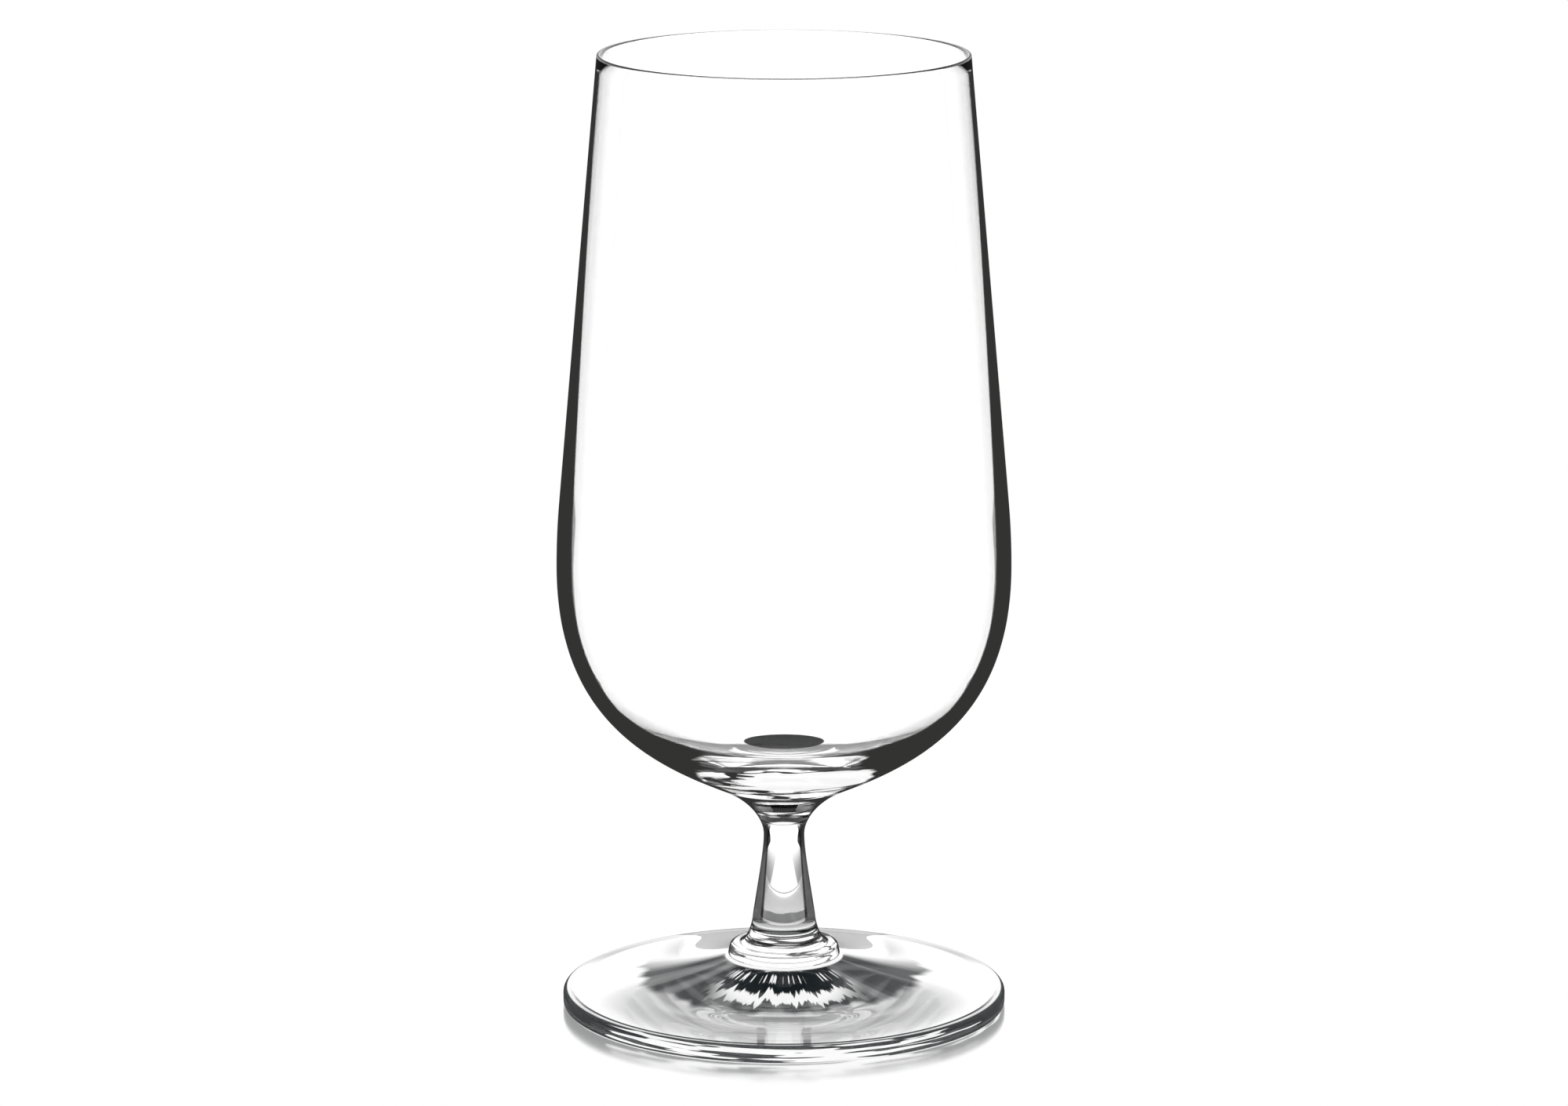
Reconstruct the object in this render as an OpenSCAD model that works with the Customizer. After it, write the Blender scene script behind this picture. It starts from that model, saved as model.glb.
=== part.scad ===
// Stemmed pilsner glass in clear glass: a tapered bowl with a heavy round bottom, a slim
// stem, a small collar and a wide coned foot, fused end to end on one axis.
// Millimetres. +Z runs up the axis, and the origin is the middle of the standing ring.

/* [Foot] */
// Diameter of the foot
foot_d = 81; // [66:0.5:100]
// Thickness of the foot at its edge
foot_edge_h = 3; // [2.2:0.1:5]
// Height of the foot in the middle, where the collar sits
foot_h = 9; // [7:0.1:14]
// Rounding of the foot's upper edge
foot_top_round = 1; // [0.3:0.1:1.2]
// Rounding of the foot's lower edge
foot_base_round = 0.8; // [0.3:0.1:1]
// Width of the flat ring that the glass stands on
ring_w = 2; // [1:0.5:12]
// Height of the shallow hollow under the foot
kick_h = 2.1; // [0.4:0.1:3]
// Slope of the foot's top at its edge, in degrees
foot_edge_slope = 9; // [4:0.5:14]
// Slope of the foot's top beside the collar, in degrees
foot_seat_slope = 16; // [8:0.5:30]

/* [Collar] */
// Thickness of the collar
collar_h = 2.4; // [1.5:0.1:4]
// How far the collar stands out past the foot of the stem
collar_out = 2.1; // [1:0.1:4]
// How far the collar's upper edge is drawn in from its lower edge
collar_draw = 0.5; // [0:0.1:1]
// Rounding of the collar's upper edge
collar_top_round = 1; // [0.3:0.1:1.2]
// Rounding of the collar's lower edge
collar_base_round = 0.4; // [0.2:0.1:0.6]

/* [Stem] */
// Length of the stem
stem_h = 29.7; // [24:0.1:60]
// Diameter where the stem spreads out on the collar
stem_foot_d = 16.6; // [14:0.1:24]
// Height of the spread at the foot of the stem
spread_h = 4.6; // [3:0.1:7]
// Slope at which the spread runs out on the collar, in degrees
spread_slope = 15; // [0:1:40]
// Diameter of the stem just above the spread
stem_low_d = 11.5; // [8:0.1:13]
// Diameter of the neck, the thinnest point of the stem
neck_d = 7.4; // [5:0.1:10]
// Distance of the neck below the bowl
neck_drop = 9.4; // [7:0.1:14]

/* [Joint of stem and bowl] */
// Diameter at which the stem runs into the bowl
joint_d = 24.6; // [18:0.1:32]
// Slope of the outline where the stem runs into the bowl, in degrees
joint_slope = 24.4; // [12:0.1:40]

/* [Bowl] */
// Height of the bowl above the stem
bowl_h = 133.9; // [110:0.1:170]
// Outer diameter at the rim
rim_d = 66.8; // [56:0.1:76]
// Outer diameter at the belly, the widest point
belly_d = 82.3; // [76:0.1:96]
// Height of the belly above the bottom of the bowl
belly_h = 40.4; // [34:0.1:50]
// Length over which the straight wall rounds into the belly
belly_round = 6; // [3:0.5:20]
// Wall thickness at the rim
rim_wall = 0.8; // [0.6:0.1:2]
// Wall thickness at the belly
belly_wall = 1.5; // [1.1:0.1:3]
// Thickness of the glass in the middle of the bowl's bottom
base_t = 5.3; // [5:0.1:12]

/* [Hidden] */

$fn = 180;
clear_glass = [0.87, 0.91, 0.91, 0.4];
curve_steps = 28;
small_steps = 8;

// Fullness of each curve: the length of its two handles as a share of the run that they span
foot_full = [0.4, 0.4];
spread_full = [0.5, 0.5];
shank_full = [0.3, 0.23];
flare_full = [0.31, 0.76];
bottom_full = [0.52, 0.65];
inside_wall_full = [0.56, 0.16];
inside_full = [0.87, 0.51];

foot_r = foot_d / 2;
stem_foot_r = stem_foot_d / 2;
stem_low_r = stem_low_d / 2;
neck_r = neck_d / 2;
joint_r = joint_d / 2;
rim_r = rim_d / 2;
belly_r = belly_d / 2;

collar_r = stem_foot_r + collar_out;
seat_r = collar_r - collar_base_round;
ring_r = foot_r - foot_base_round - ring_w;

collar_z = foot_h;
stem_z = collar_z + collar_h;
bowl_z = stem_z + stem_h;

// Direction of the outline where the stem runs into the bowl
joint_rise = [cos(joint_slope), sin(joint_slope)];

// Points of a smooth curve from a to d that leaves towards b and arrives from c
function curve(a, b, c, d, steps) = [
    for (i = [0:steps])
        let (t = i / steps, s = 1 - t)
        s * s * s * a + 3 * s * s * t * b + 3 * s * t * t * c + t * t * t * d
];

// Points of the arc that rounds corner b, coming from a and going to c
function rounded(a, b, c, r) =
    let (
        to_a = (a - b) / norm(a - b),
        to_c = (c - b) / norm(c - b),
        half = acos(to_a * to_c) / 2,
        middle = b + (to_a + to_c) / norm(to_a + to_c) * r / sin(half),
        from = b + to_a * r / tan(half) - middle,
        turn = (180 - 2 * half) * sign(cross(b - a, c - b))
    )
    [
        for (i = [0:small_steps])
            let (w = turn * i / small_steps)
            middle + [from.x * cos(w) - from.y * sin(w), from.x * sin(w) + from.y * cos(w)]
    ];

// A list of points without its first one
function after_first(points) = [for (i = [1:len(points) - 1]) points[i]];

// The solid that an outline sweeps as it turns about the axis
module turned(outline) {
    rotate_extrude() polygon(outline);
}

// Wide foot: coned on top, hollowed a little underneath, standing on a flat ring
module foot() {
    hollow_r = (ring_r * ring_r + kick_h * kick_h) / (2 * kick_h);
    hollow = [
        for (i = [0:small_steps])
            let (x = ring_r * i / small_steps)
            [x, sqrt(hollow_r * hollow_r - x * x) - hollow_r + kick_h]
    ];
    base_corner = [foot_r, 0];
    edge_corner = [foot_r, foot_edge_h];
    seat = [seat_r, foot_h];
    edge_rise = [-cos(foot_edge_slope), sin(foot_edge_slope)];
    seat_fall = [cos(foot_seat_slope), -sin(foot_seat_slope)];
    lower_edge = rounded([ring_r, 0], base_corner, edge_corner, foot_base_round);
    upper_edge = rounded(base_corner, edge_corner, edge_corner + edge_rise, foot_top_round);
    edge_top = upper_edge[small_steps];
    run = edge_top.x - seat_r;
    top = curve(
        edge_top,
        edge_top + edge_rise * foot_full[0] * run,
        seat + seat_fall * foot_full[1] * run,
        seat,
        curve_steps
    );
    color(clear_glass)
        turned(concat(hollow, lower_edge, upper_edge, after_first(top), [[0, foot_h]]));
}

// Collar: a small pressed disc that joins the stem to the foot
module collar() {
    base_corner = [collar_r, 0];
    top_corner = [collar_r - collar_draw, collar_h];
    lower_edge = rounded([0, 0], base_corner, top_corner, collar_base_round);
    upper_edge = rounded(base_corner, top_corner, [0, collar_h], collar_top_round);
    color(clear_glass) translate([0, 0, collar_z])
        turned(concat([[0, 0]], lower_edge, upper_edge, [[0, collar_h]]));
}

// Stem: spread on the collar, tapered up to the neck and flared out under the bowl
module stem() {
    base = [stem_foot_r, 0];
    low = [stem_low_r, spread_h];
    neck = [neck_r, stem_h - neck_drop];
    joint = [joint_r, stem_h];
    taper = (neck - low) / norm(neck - low);
    taper_h = neck.y - low.y;
    spread_rise = [-cos(spread_slope), sin(spread_slope)];
    spread = curve(
        base,
        base + spread_rise * spread_full[0] * (base.x - low.x),
        low - taper * spread_full[1] * spread_h,
        low,
        small_steps
    );
    shank = curve(
        low,
        low + taper * shank_full[0] * taper_h,
        neck - [0, shank_full[1] * taper_h],
        neck,
        small_steps
    );
    flare = curve(
        neck,
        neck + [0, flare_full[0] * neck_drop],
        joint - joint_rise * flare_full[1] * (joint.x - neck.x),
        joint,
        curve_steps
    );
    color(clear_glass) translate([0, 0, stem_z])
        turned(concat([[0, 0]], spread, after_first(shank), after_first(flare), [[0, stem_h]]));
}

// Bowl: a tapered wall, thin at the rim, on a round bottom that thickens towards the stem
module bowl() {
    lip_r = rim_wall / 2;
    lip = [rim_r - lip_r, bowl_h - lip_r];
    lip_out = lip + [lip_r, 0];
    lip_in = lip - [lip_r, 0];
    joint = [joint_r, 0];
    belly = [belly_r, belly_h];
    belly_in = belly - [belly_wall, 0];
    knee = belly + [0, belly_round];
    wall_fall = knee - lip_out;
    wall_end = knee - wall_fall / norm(wall_fall) * belly_round;
    inside_h = belly_h - base_t;
    bottom = curve(
        joint,
        joint + joint_rise * bottom_full[0] * (belly.x - joint.x),
        belly - [0, bottom_full[1] * belly_h],
        belly,
        curve_steps
    );
    shoulder = curve(belly, (belly + 2 * knee) / 3, (wall_end + 2 * knee) / 3, wall_end, small_steps);
    rim = [for (i = [0:small_steps]) let (w = 180 * i / small_steps) lip + lip_r * [cos(w), sin(w)]];
    inside_wall = curve(
        lip_in,
        lip_in + wall_fall * inside_wall_full[0],
        belly_in - [0, wall_fall.y * inside_wall_full[1]],
        belly_in,
        curve_steps
    );
    inside_bottom = curve(
        belly_in,
        belly_in - [0, inside_full[0] * inside_h],
        [inside_full[1] * belly_in.x, base_t],
        [0, base_t],
        curve_steps
    );
    color(clear_glass) translate([0, 0, bowl_z])
        turned(concat(
            [[0, 0]],
            bottom,
            after_first(shoulder),
            rim,
            after_first(inside_wall),
            after_first(inside_bottom)
        ));
}

foot();
collar();
stem();
bowl();
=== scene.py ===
"""Looks of the stemmed pilsner glass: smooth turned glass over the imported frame, on a white floor."""
import math

import bpy
import numpy as np
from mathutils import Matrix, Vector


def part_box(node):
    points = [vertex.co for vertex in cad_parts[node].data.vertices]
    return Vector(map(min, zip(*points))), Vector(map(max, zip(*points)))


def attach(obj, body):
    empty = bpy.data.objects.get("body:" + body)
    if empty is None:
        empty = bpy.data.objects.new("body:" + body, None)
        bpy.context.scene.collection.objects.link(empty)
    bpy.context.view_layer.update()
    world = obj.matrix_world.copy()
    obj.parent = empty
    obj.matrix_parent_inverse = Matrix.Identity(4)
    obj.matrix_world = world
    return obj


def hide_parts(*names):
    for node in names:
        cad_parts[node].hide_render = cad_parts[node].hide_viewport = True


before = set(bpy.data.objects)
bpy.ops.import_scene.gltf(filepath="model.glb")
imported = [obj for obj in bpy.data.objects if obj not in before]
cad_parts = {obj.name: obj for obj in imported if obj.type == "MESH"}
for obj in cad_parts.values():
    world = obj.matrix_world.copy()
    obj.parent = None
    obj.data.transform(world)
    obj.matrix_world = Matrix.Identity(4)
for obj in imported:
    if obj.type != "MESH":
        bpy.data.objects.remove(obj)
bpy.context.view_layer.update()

MM = 0.001

# Sizes taken from the frame
foot_low, foot_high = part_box("foot")
collar_low, collar_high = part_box("collar")
stem_low, stem_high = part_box("stem")
bowl_low, bowl_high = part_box("bowl")

FOOT_R = foot_high.x
FOOT_H = foot_high.z
COLLAR_R = collar_high.x
STEM_Z = stem_low.z
JOINT_R = stem_high.x
BOWL_Z = bowl_low.z
BELLY_R = bowl_high.x
RIM_Z = bowl_high.z

# Sizes of the foot
FOOT_EDGE_H = 3 * MM
FOOT_TOP_ROUND = 1 * MM
FOOT_BASE_ROUND = 0.8 * MM
RING_W = 2 * MM
KICK_H = 2.1 * MM
FOOT_EDGE_SLOPE = math.radians(9)
FOOT_SEAT_SLOPE = math.radians(16)

# Sizes of the collar
COLLAR_DRAW = 0.5 * MM
COLLAR_TOP_ROUND = 1 * MM
COLLAR_BASE_ROUND = 0.4 * MM
COLLAR_OUT = 2.1 * MM

# Sizes of the stem
STEM_LOW_R = 5.75 * MM
SPREAD_H = 4.6 * MM
SPREAD_SLOPE = math.radians(15)
NECK_R = 3.7 * MM
NECK_DROP = 9.4 * MM
JOINT_SLOPE = math.radians(24.4)

# Sizes of the bowl
RIM_R = 33.4 * MM
BELLY_H = 40.4 * MM
BELLY_ROUND = 6 * MM
RIM_WALL = 0.8 * MM
BELLY_WALL = 1.5 * MM
BASE_T = 5.3 * MM

# Handle lengths of the curves, as shares of the runs that they span
FOOT_FULL = (0.4, 0.4)
SPREAD_FULL = (0.5, 0.5)
SHANK_FULL = (0.3, 0.23)
FLARE_FULL = (0.31, 0.76)
BOTTOM_FULL = (0.52, 0.65)
INSIDE_WALL_FULL = (0.56, 0.16)
INSIDE_FULL = (0.87, 0.51)

# Numbers of a piece's materials: its outside, its fused joints and the inside of the bowl
SKIN, FUSED, INSIDE = 0, 1, 2

# Fineness of the turned meshes
ROUND_STEPS = 160
LONG_STEPS = 64
SHORT_STEPS = 16


def at(r, z):
    """A point of an outline: its distance from the axis and its height."""
    return np.array((r, z), float)


def slope_line(angle):
    """Direction that leads away from the axis and rises at the angle."""
    return at(math.cos(angle), math.sin(angle))


def curve(a, b, c, d, steps):
    """Points of a smooth curve from a to d that leaves towards b and arrives from c."""
    t = np.linspace(0, 1, steps + 1)[:, None]
    s = 1 - t
    return s**3 * a + 3 * s * s * t * b + 3 * s * t * t * c + t**3 * d


def line(a, b, steps):
    """Points of a straight stretch from a to b."""
    t = np.linspace(0, 1, steps + 1)[:, None]
    return (1 - t) * a + t * b


def rounded(a, b, c, r):
    """Points of the arc that rounds corner b, coming from a and going to c."""
    to_a = (a - b) / np.linalg.norm(a - b)
    to_c = (c - b) / np.linalg.norm(c - b)
    half = math.acos(to_a @ to_c) / 2
    middle = b + (to_a + to_c) / np.linalg.norm(to_a + to_c) * r / math.sin(half)
    start = b + to_a * r / math.tan(half) - middle
    into, out = b - a, c - b
    turn = (math.pi - 2 * half) * math.copysign(1, into[0] * out[1] - into[1] * out[0])
    w = np.linspace(0, turn, SHORT_STEPS + 1)
    return middle + np.stack(
        (start[0] * np.cos(w) - start[1] * np.sin(w), start[0] * np.sin(w) + start[1] * np.cos(w)), 1
    )


def joined(*stretches):
    """One smooth run of points from stretches that meet end to end."""
    return np.concatenate([stretches[0]] + [s[1:] for s in stretches[1:]])


def run_normals(points):
    """Outward normals along a run that is walked with the glass on its left."""
    steps = np.linalg.norm(np.diff(points, axis=0), axis=1)
    along = np.concatenate(([0], np.cumsum(steps)))
    tangent = np.gradient(points, along, axis=0, edge_order=2)
    tangent /= np.linalg.norm(tangent, axis=1)[:, None]
    return np.stack((tangent[:, 1], -tangent[:, 0]), 1)


def turned(name, runs, materials):
    """A closed turned mesh. Each run is a smooth stretch of the outline with its material's number."""
    outline, normals, run_of = [], [], []
    for points, material in runs:
        normal = run_normals(points)
        first = 1 if outline else 0
        outline.extend(points[first:])
        for i in range(len(points) - 1):
            normals.append((normal[i], normal[i + 1]))
            run_of.append(material)
    outline = np.array(outline)
    angles = np.arange(ROUND_STEPS) * 2 * math.pi / ROUND_STEPS
    vertices, rings = [], []
    for r, z in outline:
        if r < 1e-9:
            rings.append([len(vertices)] * ROUND_STEPS)
            vertices.append((0, 0, z))
        else:
            rings.append(list(range(len(vertices), len(vertices) + ROUND_STEPS)))
            vertices.extend((r * math.cos(w), r * math.sin(w), z) for w in angles)
    faces, corner_normals, face_materials = [], [], []

    def spun(normal, k):
        """A normal of the outline, turned to its place round the axis."""
        w = angles[k % ROUND_STEPS]
        return (normal[0] * math.cos(w), normal[0] * math.sin(w), normal[1])

    for i in range(len(outline) - 1):
        low, high = rings[i], rings[i + 1]
        n_low, n_high = normals[i]
        for k in range(ROUND_STEPS):
            m = (k + 1) % ROUND_STEPS
            corners = [
                (low[k], n_low, k),
                (low[m], n_low, k + 1),
                (high[m], n_high, k + 1),
                (high[k], n_high, k),
            ]
            if low[k] == low[m]:
                corners.pop(1)
            if high[k] == high[m]:
                corners.pop()
            faces.append([c[0] for c in corners])
            corner_normals.extend(spun(c[1], c[2]) for c in corners)
            face_materials.append(run_of[i])
    mesh = bpy.data.meshes.new(name)
    mesh.from_pydata(vertices, [], faces)
    for material in materials:
        mesh.materials.append(material)
    mesh.polygons.foreach_set("material_index", face_materials)
    mesh.polygons.foreach_set("use_smooth", [True] * len(faces))
    mesh.normals_split_custom_set(corner_normals)
    piece = bpy.data.objects.new(name, mesh)
    bpy.context.scene.collection.objects.link(piece)
    return piece


# Outlines, walked anticlockwise so that the glass is on the left

def foot_runs():
    """Hollow underside, standing ring, rounded edge and coned top, up to the collar's seat."""
    ring_r = FOOT_R - FOOT_BASE_ROUND - RING_W
    hollow_r = (ring_r**2 + KICK_H**2) / (2 * KICK_H)
    x = np.linspace(0, ring_r, LONG_STEPS + 1)
    hollow = np.stack((x, np.sqrt(hollow_r**2 - x * x) - hollow_r + KICK_H), 1)
    base_corner, edge_corner = at(FOOT_R, 0), at(FOOT_R, FOOT_EDGE_H)
    edge_rise = slope_line(FOOT_EDGE_SLOPE) * (-1, 1)
    lower_edge = rounded(at(ring_r, 0), base_corner, edge_corner, FOOT_BASE_ROUND)
    upper_edge = rounded(base_corner, edge_corner, edge_corner + edge_rise, FOOT_TOP_ROUND)
    seat = at(COLLAR_R - COLLAR_BASE_ROUND, FOOT_H)
    run = upper_edge[-1][0] - seat[0]
    top = curve(
        upper_edge[-1],
        upper_edge[-1] + edge_rise * FOOT_FULL[0] * run,
        seat + slope_line(FOOT_SEAT_SLOPE) * (1, -1) * FOOT_FULL[1] * run,
        seat,
        LONG_STEPS,
    )
    ring = line(hollow[-1], lower_edge[0], SHORT_STEPS)
    side = line(lower_edge[-1], upper_edge[0], SHORT_STEPS)
    skin = joined(ring, lower_edge, side, upper_edge, top)
    return [(hollow, SKIN), (skin, SKIN), (line(seat, at(0, FOOT_H), SHORT_STEPS), FUSED)]


def collar_runs():
    """A small disc with rounded edges, drawn in a little towards its top."""
    base_corner = at(COLLAR_R, FOOT_H)
    top_corner = at(COLLAR_R - COLLAR_DRAW, STEM_Z)
    lower_edge = rounded(at(0, FOOT_H), base_corner, top_corner, COLLAR_BASE_ROUND)
    upper_edge = rounded(base_corner, top_corner, at(0, STEM_Z), COLLAR_TOP_ROUND)
    stem_foot = at(COLLAR_R - COLLAR_OUT, STEM_Z)
    side = line(lower_edge[-1], upper_edge[0], SHORT_STEPS)
    skin = joined(lower_edge, side, upper_edge, line(upper_edge[-1], stem_foot, SHORT_STEPS))
    return [
        (line(at(0, FOOT_H), lower_edge[0], SHORT_STEPS), FUSED),
        (skin, SKIN),
        (line(stem_foot, at(0, STEM_Z), SHORT_STEPS), FUSED),
    ]


def stem_runs():
    """Spread on the collar, tapered up to the neck and flared out under the bowl."""
    base = at(COLLAR_R - COLLAR_OUT, STEM_Z)
    low = at(STEM_LOW_R, STEM_Z + SPREAD_H)
    neck = at(NECK_R, BOWL_Z - NECK_DROP)
    joint = at(JOINT_R, BOWL_Z)
    taper_h = neck[1] - low[1]
    taper = (neck - low) / np.linalg.norm(neck - low)
    spread = curve(
        base,
        base + slope_line(SPREAD_SLOPE) * (-1, 1) * SPREAD_FULL[0] * (base[0] - low[0]),
        low - taper * SPREAD_FULL[1] * SPREAD_H,
        low,
        LONG_STEPS,
    )
    shank = curve(
        low, low + taper * SHANK_FULL[0] * taper_h, neck - at(0, SHANK_FULL[1] * taper_h), neck, LONG_STEPS
    )
    flare = curve(
        neck,
        neck + at(0, FLARE_FULL[0] * NECK_DROP),
        joint - slope_line(JOINT_SLOPE) * FLARE_FULL[1] * (joint[0] - neck[0]),
        joint,
        LONG_STEPS,
    )
    return [
        (line(at(0, STEM_Z), base, SHORT_STEPS), FUSED),
        (joined(spread, shank, flare), SKIN),
        (line(joint, at(0, BOWL_Z), SHORT_STEPS), FUSED),
    ]


def bowl_runs():
    """Round bottom, tapered wall and lip outside; wall and nearly flat floor inside."""
    lip_r = RIM_WALL / 2
    lip = at(RIM_R - lip_r, RIM_Z - lip_r)
    lip_out, lip_in = lip + at(lip_r, 0), lip - at(lip_r, 0)
    joint = at(JOINT_R, BOWL_Z)
    belly = at(BELLY_R, BOWL_Z + BELLY_H)
    belly_in = belly - at(BELLY_WALL, 0)
    knee = belly + at(0, BELLY_ROUND)
    wall_fall = knee - lip_out
    wall_end = knee - wall_fall / np.linalg.norm(wall_fall) * BELLY_ROUND
    inside_h = BELLY_H - BASE_T
    floor_in = at(0, BOWL_Z + BASE_T)
    bottom = curve(
        joint,
        joint + slope_line(JOINT_SLOPE) * BOTTOM_FULL[0] * (belly[0] - joint[0]),
        belly - at(0, BOTTOM_FULL[1] * BELLY_H),
        belly,
        LONG_STEPS,
    )
    shoulder = curve(belly, (belly + 2 * knee) / 3, (wall_end + 2 * knee) / 3, wall_end, SHORT_STEPS)
    w = np.linspace(0, math.pi, SHORT_STEPS + 1)
    rim = lip + lip_r * np.stack((np.cos(w), np.sin(w)), 1)
    inside_wall = curve(
        lip_in,
        lip_in + wall_fall * INSIDE_WALL_FULL[0],
        belly_in - at(0, wall_fall[1] * INSIDE_WALL_FULL[1]),
        belly_in,
        LONG_STEPS,
    )
    inside_bottom = curve(
        belly_in,
        belly_in - at(0, INSIDE_FULL[0] * inside_h),
        floor_in + at(INSIDE_FULL[1] * belly_in[0], 0),
        floor_in,
        LONG_STEPS,
    )
    wall = line(wall_end, lip_out, LONG_STEPS)
    crest = len(rim) // 2
    return [
        (line(at(0, BOWL_Z), joint, SHORT_STEPS), FUSED),
        (joined(bottom, shoulder, wall, rim[: crest + 1]), SKIN),
        (joined(rim[crest:], inside_wall, inside_bottom), INSIDE),
    ]


class Shade:
    """A socket of a shader. Sums written with it add the Math nodes that work them out."""

    def __init__(self, tree, socket=None):
        self.tree, self.socket = tree, socket

    def node(self, kind, settings=None, values=None, out=0):
        """Add a node, set it up, fill or link its inputs, and give back one of its outputs."""
        made = self.tree.nodes.new(kind)
        for name, setting in (settings or {}).items():
            if name == "stops":
                ramp = made.color_ramp
                while len(ramp.elements) < len(setting):
                    ramp.elements.new(1)
                for stop, (place, level) in zip(ramp.elements, setting):
                    stop.position, stop.color = place, (level, level, level, 1)
            else:
                setattr(made, name, setting)
        for name, value in (values or {}).items():
            if isinstance(value, Shade):
                self.tree.links.new(value.socket, made.inputs[name])
            else:
                made.inputs[name].default_value = value
        return Shade(self.tree, made.outputs[out])

    def math(self, operation, *values):
        return self.node("ShaderNodeMath", {"operation": operation}, dict(enumerate(values)))

    def __add__(self, other):
        return self.math("ADD", self, other)

    def __sub__(self, other):
        return self.math("SUBTRACT", self, other)

    def __rsub__(self, other):
        return self.math("SUBTRACT", other, self)

    def __mul__(self, other):
        return self.math("MULTIPLY", self, other)

    def __abs__(self):
        return self.math("ABSOLUTE", self)

    __radd__, __rmul__ = __add__, __mul__

    def most(self, other):
        """The larger of two values."""
        return self.math("MAXIMUM", self, other)

    def ease(self, start, end, low=0, high=1):
        """Move softly from low to high while the value runs from start to end."""
        return self.node(
            "ShaderNodeMapRange",
            {"interpolation_type": "SMOOTHSTEP"},
            {"Value": self, "From Min": start, "From Max": end, "To Min": low, "To Max": high},
        )

    def levels(self, stops):
        """Follow levels given at places between 0 and 1."""
        return self.node("ShaderNodeValToRGB", {"stops": stops}, {0: self})

    def blend(self, low, high):
        """Blend two colours by the value."""
        return self.node("ShaderNodeMix", {"data_type": "RGBA"}, {0: self, 6: low, 7: high}, out=2)

    def part(self, axis):
        """One part of a vector."""
        return self.node("ShaderNodeSeparateXYZ", values={0: self}, out=axis)

    def scaled(self, by):
        """A vector with each of its parts scaled."""
        return self.node("ShaderNodeVectorMath", {"operation": "MULTIPLY"}, {0: self, 1: by})

    def streaks(self, scale, detail=3):
        """Uneven marks, drawn out along the axes with the smaller scales."""
        values = {"Vector": self.scaled(scale), "Scale": 1, "Detail": detail}
        return self.node("ShaderNodeTexNoise", values=values)

    def rays(self, count):
        """Uneven marks that run out from the axis."""
        flat = self.scaled((1, 1, 0))
        ahead = flat.node("ShaderNodeVectorMath", {"operation": "NORMALIZE"}, {0: flat})
        return ahead.streaks((count, count, 1), 1)

    def reach(self):
        """Distance of a spot from the axis."""
        flat = self.scaled((1, 1, 0))
        return flat.node("ShaderNodeVectorMath", {"operation": "LENGTH"}, {0: flat}, out="Value")

    def outside(self):
        """1 where the glass is looked at from outside, 0 from within."""
        return 1 - self.node("ShaderNodeNewGeometry", out="Backfacing")

    def feed(self, shader, name):
        """Link this value to an input of a shader."""
        self.tree.links.new(self.socket, shader.inputs[name])


# Colours of the glass and the tones painted over it: the dark tones are painted shade, and white also serves
# for painted highlights
CLEAR = (1, 1, 1, 1)
BLACK = (0, 0, 0, 1)
PAINTED_SHADE_TONE = (0.033, 0.033, 0.032, 1)
COOL_BLACK = (0, 0.004, 0.006, 1)
PAINTED_STEM_SHADE_TONE = (0.002, 0.003, 0.003, 1)

GLASS_IOR = 1.52

# Width of the bowl's painted dark edge, painted shade for the dark bands that the thick glass shows, as a
# slant, at places from the joint (0) to the rim (1)
EDGE_WIDTH = [
    (0.018, 0.03),
    (0.096, 0.49),
    (0.104, 0.48),
    (0.115, 0.41),
    (0.141, 0.36),
    (0.38, 0.355),
    (0.81, 0.235),
    (0.98, 0.19),
    (0.992, 0),
]
EDGE_SOFT = 0.011

# Places on the bowl: where the painted streaks low on its bottom end, the painted dark line on its lip and
# the painted dark disc on its floor
PAINTED_STREAKS_TOP = (51 * MM, 54 * MM)
BOWL_RIPPLE_TOP = (46 * MM, 54 * MM)
LIP_LINE = (RIM_Z - 0.25 * MM, RIM_Z - 0.15 * MM)
FLOOR_TOP = (BOWL_Z + BASE_T + 3 * MM, BOWL_Z + BASE_T + 4 * MM)
STEM_END_R = (7.3 * MM, 7.7 * MM)

# Places on the stem: the ends of its shank, its painted grey sides, the painted grey pane in its window and
# its ripples
SHANK_START = (15.5 * MM, 17 * MM)
SHANK_END = (33.5 * MM, 35 * MM)
SIDES_SPAN, SIDES_WIDTH = (17 * MM, 32 * MM), (0.74, 0.63)
GREY_SPAN, GREY_TONE = (26 * MM, 32 * MM), (0.11, 0.03)
PANE_TOP, PANE_DROP = 31 * MM, 10 * MM
FLARE_RIPPLE = (34 * MM, 38 * MM)
SPREAD_RIPPLE = (15 * MM, 19 * MM)

# Places on the foot: its upper side, where the painted rings go, and its edge, which is painted with streaks
FOOT_TOP = (2.9 * MM, 3.1 * MM)
FOOT_EDGE = (39.4 * MM, 39.6 * MM)


def new_material(name):
    """A material with its shader and an empty socket to start sums from."""
    made = bpy.data.materials.new(name)
    made.use_nodes = True
    return made, made.node_tree.nodes["Principled BSDF"], Shade(made.node_tree)


def lay_over(shader, start, cover, tone):
    """Lay a tone over a shader, by how far it covers."""
    over = start.node(
        "ShaderNodeBsdfPrincipled",
        values={"Base Color": BLACK, "Specular IOR Level": 0, "Emission Strength": 1, "Emission Color": tone},
    )
    below = Shade(start.tree, shader.outputs[0])
    laid = start.node("ShaderNodeMixShader", values={0: cover, 1: below, 2: over})
    laid.feed(start.tree.nodes["Material Output"], "Surface")


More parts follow.
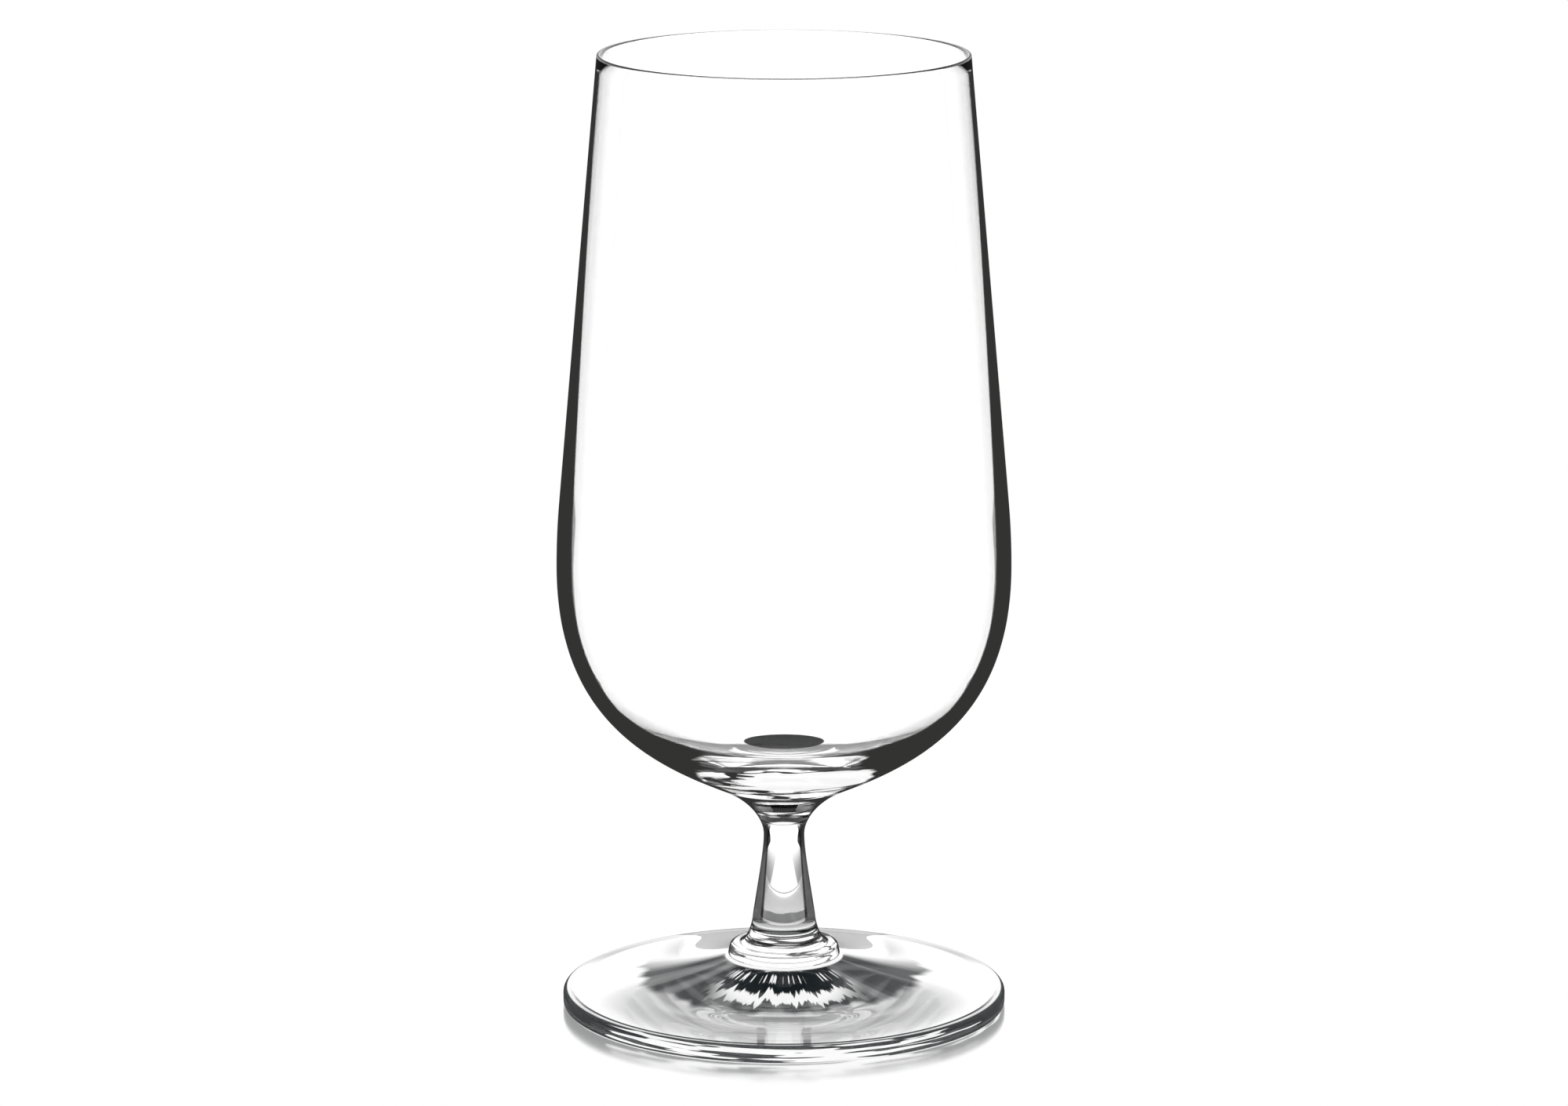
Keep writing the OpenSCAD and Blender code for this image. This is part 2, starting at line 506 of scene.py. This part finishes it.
def glass_material(name, cover_of, ripple_of=None):
    """Clear glass. The cover tells where, at which slant, a painted tone of shade or highlight is laid over
    it, and the tone there.
    """
    made, shader, start = new_material(name)
    spot = start.node("ShaderNodeTexCoord", out="Object")
    shader.inputs["Base Color"].default_value = CLEAR
    shader.inputs["Roughness"].default_value = 0
    shader.inputs["IOR"].default_value = GLASS_IOR
    shader.inputs["Transmission Weight"].default_value = 1
    if ripple_of:
        wavy = start.node("ShaderNodeBump", values={"Distance": 1 * MM, "Height": ripple_of(spot)})
        wavy.feed(shader, "Normal")
    slant = 1 - start.node("ShaderNodeLayerWeight", values={"Blend": 0.5}, out="Facing")
    lay_over(shader, start, *cover_of(slant, spot))
    return made


def thin_lines(marks, level, thin, wide):
    """1 along the lines where uneven marks pass through a level, 0 away from them."""
    return abs(marks - level).ease(thin, wide, 1, 0)


def layered(tone, cover, layers):
    """Lay shapes over a tone one after the other, each with its own level and share of cover."""
    for shape, level, share in layers:
        tone = tone + shape * (level - tone)
        cover = cover + shape * (share - cover)
    return tone, cover


def bowl_cover(slant, spot):
    """A painted dark edge, widest low down, where the wall is thick; painted dark lines and painted white
    patches low on the bottom; and a painted dark line on the lip.
    """
    height = spot.part("Z")
    painted_streak_zone = height.ease(*PAINTED_STREAKS_TOP, 1, 0)
    # Painted shade: a dark edge laid over the glass where it is seen at a slant, its width wavering low on
    # the bowl
    width = ((height - BOWL_Z) * (1 / (RIM_Z - BOWL_Z))).levels(EDGE_WIDTH)
    width = width + (spot.streaks((30, 30, 500)) - 0.5) * 0.12 * painted_streak_zone
    edge = slant.ease(width - EDGE_SOFT, width + EDGE_SOFT, 1, 0)
    # Painted dark lines and painted white highlight patches low on the bowl, seen from outside, in place of
    # the streaks that the glass shows there
    marks = spot.streaks((35, 35, 260))
    lines = thin_lines(marks, 0.46, 0.014, 0.026) * painted_streak_zone
    patches = marks.ease(0.48, 0.5) * painted_streak_zone * (1 - edge)
    # A painted dark line along the lip
    lip = height.ease(*LIP_LINE)
    marked = lines.most(0.9 * patches) * spot.outside() + 0.7 * lip
    return edge.most(marked), patches.blend(PAINTED_SHADE_TONE, CLEAR)


def bowl_ripple(spot):
    """Uneven rings where the bottom was joined on to the stem."""
    return spot.streaks((40, 40, 600)) * 0.012 * spot.part("Z").ease(*BOWL_RIPPLE_TOP, 1, 0)


def inside_cover(slant, spot):
    """A painted dark disc in the middle of the bowl's floor, painted shade where the floor looks down into
    the stem, unless seen from high up.
    """
    disc = spot.reach().ease(*STEM_END_R, 1, 0)
    on_floor = spot.part("Z").ease(*FLOOR_TOP, 1, 0)
    return disc * on_floor * slant.ease(0.42, 0.52, 1, 0) * spot.outside(), PAINTED_STEM_SHADE_TONE


def stem_cover(slant, spot):
    """Painted shade on the stem: grey sides, a dark line along the clear window between them, a grey pane low
    in the window, a dark outline, and dark rings past the shank's ends.
    """
    height = spot.part("Z")
    shank = height.ease(*SHANK_START) * height.ease(*SHANK_END, 1, 0)
    # Painted shade: grey sides and a dark line beside the window, laid over the glass by slant
    width = height.ease(*SIDES_SPAN, *SIDES_WIDTH)
    sides = slant.ease(width - 0.02, width + 0.02, 1, 0) * shank
    side_line = abs(slant - width + 0.05).ease(0.03, 0.05, 1, 0) * shank
    grey = height.ease(*GREY_SPAN, *GREY_TONE) * (1 - 0.85 * side_line)
    # A painted dark outline, painted dark rings past the shank's ends and a painted grey pane low in the
    # window
    outline = slant.ease(0.2, 0.3, 1, 0)
    rings = thin_lines(spot.streaks((30, 30, 420)), 0.5, 0.014, 0.03) * (1 - shank) * spot.outside()
    pane_top = PANE_TOP - slant * PANE_DROP
    pane = height.ease(pane_top - 0.3 * MM, pane_top + 0.1 * MM, 1, 0)
    pane = pane * shank * (1 - sides) * spot.outside()
    cover = outline.most(0.92 * sides).most(0.9 * rings) + 0.5 * pane
    tone = grey * shank * (1 - outline) * (1 - pane) + 0.033 * outline + 0.3 * pane
    return cover, tone.blend(BLACK, CLEAR)


def stem_ripple(spot):
    """Uneven rings on the flare and the spread."""
    height = spot.part("Z")
    flare = 0.02 * height.ease(*FLARE_RIPPLE)
    spread = 0.015 * height.ease(*SPREAD_RIPPLE, 1, 0)
    return spot.streaks((40, 40, 600)) * (flare + spread)


def collar_cover(slant, spot):
    """Thin painted dark lines, standing in for the streaks where the collar was pressed on, and a painted
    dark outline.
    """
    # Painted shade: dark lines and a dark outline laid over the glass
    lines = thin_lines(spot.streaks((60, 60, 500)), 0.5, 0.014, 0.03)
    outline = slant.ease(0.22, 0.28, 1, 0)
    return outline.most(0.85 * lines * spot.outside()), PAINTED_SHADE_TONE


def foot_cover(slant, spot):
    """Painted shade and painted highlights: uneven dark and bright rings round the collar, like the stem's
    image in a foot, and a painted streaked edge.

    The rings are fixed to the glass. They fade where the foot is seen very flat or from above.
    """
    reach, height = spot.reach(), spot.part("Z")
    wide_rays, rays, wisps = spot.rays(3) - 0.5, spot.rays(9) - 0.5, spot.rays(26) - 0.5
    folds = spot.rays(5).ease(0.45, 0.65)

    def ring(low, high, soft, uneven=0):
        """1 between two distances from the axis in millimetres."""
        place = reach * (1 / MM) + uneven
        return place.ease(low - soft, low + soft) * place.ease(high - soft, high + soft, 1, 0)

    # Painted tones: a grey veil, a dark fan and a near-black well for painted shade; a white crown, glints
    # and brow for painted highlights
    veil = ring(22, 38.5, 6) * slant.ease(0.23, 0.38)
    fan = ring(10, 26, 1.2, wide_rays * 8 + rays * 3)
    well = ring(10.8, 18.5, 0.5, rays * 3) * slant.ease(0.42, 0.46)
    crown = ring(18.5, 22.5, 0.4, wisps * 8 + rays * 5) * slant.ease(0.4, 0.46)
    glints = ring(13, 15.5, 0.4, wisps * 5) * wisps.ease(0.02, 0.06) * slant.ease(0.42, 0.46)
    brow = ring(9.6, 10.8, 0.2)
    tone, cover = layered(
        0.3,
        0,
        (
            (veil, 0.42, 0.65),
            (fan, 0.05 + folds * 0.15, 0.92),
            (well, 0.008, 0.97),
            (crown, 0.95, 0.97),
            (glints, 0.9, 0.97),
            (brow, 0.97, 0.97),
        ),
    )
    cover = cover * height.ease(*FOOT_TOP) * slant.ease(0.18, 0.28) * slant.ease(0.5, 0.6, 1, 0)

    # The foot's edge: painted white and dark dashes, a painted dark line in front and a painted bright line
    # at the sides
    dashes = spot.streaks((70, 70, 1900), 1)
    edge = reach.ease(*FOOT_EDGE)
    edge_tone = (dashes + slant * 0.36).ease(0.77, 0.8, 0.03, 0.97)
    front_line = ring(38.7, 39.3, 0.1) * slant.ease(0.25, 0.35)
    side_line = ring(39.2, 39.8, 0.1) * slant.ease(0.3, 0.5, 1, 0)
    tone, cover = layered(
        tone, cover, ((edge, edge_tone, 0.93), (front_line, 0.02, 0.95), (side_line, 0.95, 0.85))
    )
    return cover * spot.outside(), tone.blend(COOL_BLACK, CLEAR)


def fused_material():
    """The joint faces can't be seen, because the pieces are one glass there."""
    made, shader, start = new_material("fused_joint")
    shader.inputs["Alpha"].default_value = 0
    return made


inside_glass = glass_material("inside_glass", inside_cover)
fused = fused_material()
for node, runs, glass in (
    ("foot", foot_runs, glass_material("foot_glass", foot_cover)),
    ("collar", collar_runs, glass_material("collar_glass", collar_cover)),
    ("stem", stem_runs, glass_material("stem_glass", stem_cover, stem_ripple)),
    ("bowl", bowl_runs, glass_material("bowl_glass", bowl_cover, bowl_ripple)),
):
    piece = turned("glass_" + node, runs(), [glass, fused, inside_glass])
    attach(piece, "root")
    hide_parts(node)

# Camera, fitted on the photograph's rim and foot
PHOTO_WIDE = 2000
FOCAL_LENGTH = 8048.5
SENSOR_WIDE = 36
PITCH = math.radians(12.057)

camera = bpy.data.objects.new("camera", bpy.data.cameras.new("camera"))
bpy.context.scene.collection.objects.link(camera)
bpy.context.scene.camera = camera
camera.location = (0, -1116.25 * MM, 322.54 * MM)
camera.rotation_euler = (math.pi / 2 - PITCH, 0, 0)
camera.data.lens = FOCAL_LENGTH / PHOTO_WIDE * SENSOR_WIDE
camera.data.sensor_width = SENSOR_WIDE
camera.data.clip_start, camera.data.clip_end = 0.01, 50

# Glow of the dark room and of the white sheets
DARK = 0.033
BACK_GLOW = 1.4
BACKDROP_GLOW = 1.3
SOFT_EDGE = 0.02

# Glow of the light strip under the foot: its painted gloss, its lit far part, a painted shadow ring round the
# collar and two painted dark bars, with a painted bright line between them, in front of the stem
NEAR_GLOW = 0.02
STEEP_GLOW = 0.4
MIDDLE_GLOW = 0.6
EDGE_GLOW, EDGE_LIT = 0.8, (24 * MM, 34 * MM)
GLOSS_SPAN, GLOSS_GLOW = (-40 * MM, 260 * MM), (1.6, 9)
LIT_SPAN, LIT_GLOW, LIT_HALF = (0, 22 * MM), 1.3, (16 * MM, 20 * MM)
RING_SHADE, RING_R, RING_WIDE = 0.75, 17 * MM, 8 * MM
MIDDLE_HALF, MIDDLE_END = (2.6 * MM, 3.4 * MM), (-10 * MM, -4 * MM)
BAR_DARK, BAR_X, BAR_HALF, BAR_END = 0.95, 4.1 * MM, (0.5 * MM, 0.9 * MM), (-6 * MM, -2 * MM)

# Slants at which the low and the high part of the card shine, and the height where they meet
CARD_LOW_AIM = (0.42, 0.5)
CARD_HIGH_AIM = (0.1, 0.3)
CARD_STEP = (30 * MM, 45 * MM)

# How much the floor mirrors, how softly, and how far from the axis its polish ends
POLISH, POLISH_SOFT = 0.72, 0.2
POLISH_END = (46 * MM, 53 * MM)

# Places of the sheets, in millimetres
STRIP_NEAR, STRIP_Z = -60, -1
CARD_BACK, CARD_TOP = 75, 185
CARD_LOW_HALF, CARD_HALF = 46, 54
CARD_WIDENS = (35, 45)
CARD_NORMAL = (0, -0.707, 0.707)
BACKDROP_HALF, BACKDROP_BACK, BACKDROP_TOP = 4000, 2500, 4000
FLOOR_HALF, FLOOR_Z = 6000, -0.1
POINTS_ACROSS = 21


def stage_sheet(name, rows, material, aim=None):
    """A sheet for the studio, from rows of points in millimetres. It turns about the axis with the camera."""
    count = len(rows[0])
    vertices = [[v * MM for v in p] for row in rows for p in row]
    faces, marks = [], []
    for i in range(len(rows) - 1):
        for k in range(count - 1):
            a = i * count + k
            faces.append((a, a + 1, a + count + 1, a + count))
            for v, u in ((i, k), (i, k + 1), (i + 1, k + 1), (i + 1, k)):
                marks.extend((u / (count - 1), v / (len(rows) - 1)))
    mesh = bpy.data.meshes.new(name)
    mesh.from_pydata(vertices, [], faces)
    mesh.uv_layers.new().data.foreach_set("uv", marks)
    mesh.materials.append(material)
    sheet = bpy.data.objects.new(name, mesh)
    bpy.context.scene.collection.objects.link(sheet)
    if aim:
        mesh.polygons.foreach_set("use_smooth", [True] * len(faces))
        mesh.normals_split_custom_set([aim] * len(mesh.loops))
    turn = sheet.constraints.new("LOCKED_TRACK")
    turn.target = camera
    turn.track_axis, turn.lock_axis = "TRACK_NEGATIVE_Y", "LOCK_Z"
    return sheet


def across(half, y, z):
    """A row of points across a sheet."""
    return [(x, y, z) for x in np.linspace(-half, half, POINTS_ACROSS)]


def card_half(z):
    """Half the card's width: narrow low down, behind the stem."""
    return np.interp(z, CARD_WIDENS, (CARD_LOW_HALF, CARD_HALF))


def glowing(name, glow_of=None, strength=1):
    """A material that only glows: evenly, or by a sum of its distance from the sheet's sides and its spot."""
    made, shader, start = new_material(name)
    shader.inputs["Base Color"].default_value = BLACK
    shader.inputs["Specular IOR Level"].default_value = 0
    shader.inputs["Emission Color"].default_value = CLEAR
    shader.inputs["Emission Strength"].default_value = strength
    if glow_of:
        side = start.node("ShaderNodeTexCoord", out="UV").part("X")
        spot = start.node("ShaderNodeTexCoord", out="Object")
        glow_of(1 - abs(side * 2 - 1), spot).feed(shader, "Emission Color")
    return made


def strip_glow(inset, spot):
    """Bright behind the stem and below the foot's edge. Before the stem is a painted gloss with two dark bars
    and a bright line between them, painted for the stem's shadow and the light it gathers, and a painted
    shadow ring round the collar.
    """
    depth, reach, aside = spot.part("Y"), spot.reach(), abs(spot.part("X"))
    gloss = spot.node("ShaderNodeFresnel", values={"IOR": 1.5})
    slanting, steep = gloss.ease(0.1, 0.18), gloss.ease(0.055, 0.11, 1, 0)
    middle = aside.ease(*MIDDLE_HALF, 1, 0) * depth.ease(*MIDDLE_END, 1, 0)
    # Painted shadow: a darker ring round the collar, left out along the bright middle line
    shade = 1 - RING_SHADE * (1 - abs(reach - RING_R).ease(0, RING_WIDE)) * (1 - middle)
    under = (depth.ease(*GLOSS_SPAN, *GLOSS_GLOW) * gloss + NEAR_GLOW) * shade
    under = under + slanting * (EDGE_GLOW * reach.ease(*EDGE_LIT) + MIDDLE_GLOW * middle)
    under = under + STEEP_GLOW * steep
    lit = depth.ease(*LIT_SPAN) * slanting.most(aside.ease(*LIT_HALF, 1, 0))
    glow = under + lit * (LIT_GLOW - under)
    # Painted shadow: two dark bars in front of the stem
    bars = abs(aside - BAR_X).ease(*BAR_HALF, 1, 0) * depth.ease(*BAR_END, 1, 0)
    return inset.ease(0, SOFT_EDGE) * (glow * (1 - BAR_DARK * bars * slanting) - DARK) + DARK


def card_glow(inset, spot):
    """White above; its low part only shines down towards the glass."""
    facing = 1 - spot.node("ShaderNodeLayerWeight", values={"Blend": 0.5}, out="Facing")
    low, high = facing.ease(*CARD_LOW_AIM), facing.ease(*CARD_HIGH_AIM)
    glow = low + spot.part("Z").ease(*CARD_STEP) * (high - low)
    return inset.ease(0, SOFT_EDGE) * glow * (BACK_GLOW - DARK) + DARK


def polished_floor():
    """A white floor, polished close round the foot, where it mirrors the foot's edge."""
    made, shader, start = new_material("polished_white")
    shader.inputs["Base Color"].default_value = CLEAR
    shader.inputs["Metallic"].default_value = 1
    shader.inputs["Roughness"].default_value = POLISH_SOFT
    reach = start.node("ShaderNodeTexCoord", out="Object").reach()
    lay_over(shader, start, reach.ease(*POLISH_END, 1 - POLISH, 1), CLEAR)
    return made


strip = stage_sheet(
    "table_strip",
    [across(CARD_LOW_HALF, y, STRIP_Z) for y in np.linspace(STRIP_NEAR, CARD_BACK, 30)],
    glowing("table_gloss", strip_glow),
)
card = stage_sheet(
    "white_card",
    [across(card_half(z), CARD_BACK, z + STRIP_Z) for z in np.linspace(0, CARD_TOP, 38)],
    glowing("card_white", card_glow),
    aim=CARD_NORMAL,
)
backdrop = stage_sheet(
    "backdrop",
    [across(BACKDROP_HALF, BACKDROP_BACK, z) for z in (STRIP_Z, BACKDROP_TOP)],
    glowing("backdrop_white", strength=BACKDROP_GLOW),
)
floor = stage_sheet(
    "floor", [across(FLOOR_HALF, y, FLOOR_Z) for y in (-FLOOR_HALF, FLOOR_HALF)], polished_floor()
)

# The camera sees none of the sheets but the floor. The strip and the card light what passes through the
# glass, and the strip and the backdrop light what mirrors.
strip.visible_camera = card.visible_camera = backdrop.visible_camera = False
card.visible_glossy = False
backdrop.visible_transmission = False
floor.visible_transmission = floor.visible_glossy = floor.visible_diffuse = False

world = bpy.data.worlds.new("studio")
bpy.context.scene.world = world
world.use_nodes = True
sky = Shade(world.node_tree)
seen = sky.node("ShaderNodeLightPath", out="Is Camera Ray")
seen.blend((DARK, DARK, DARK, 1), CLEAR).feed(world.node_tree.nodes["Background"], "Color")

scene = bpy.context.scene
scene.view_settings.view_transform = "Standard"
scene.cycles.max_bounces = 32
scene.cycles.transmission_bounces = 32
scene.cycles.glossy_bounces = 32
scene.cycles.transparent_max_bounces = 64
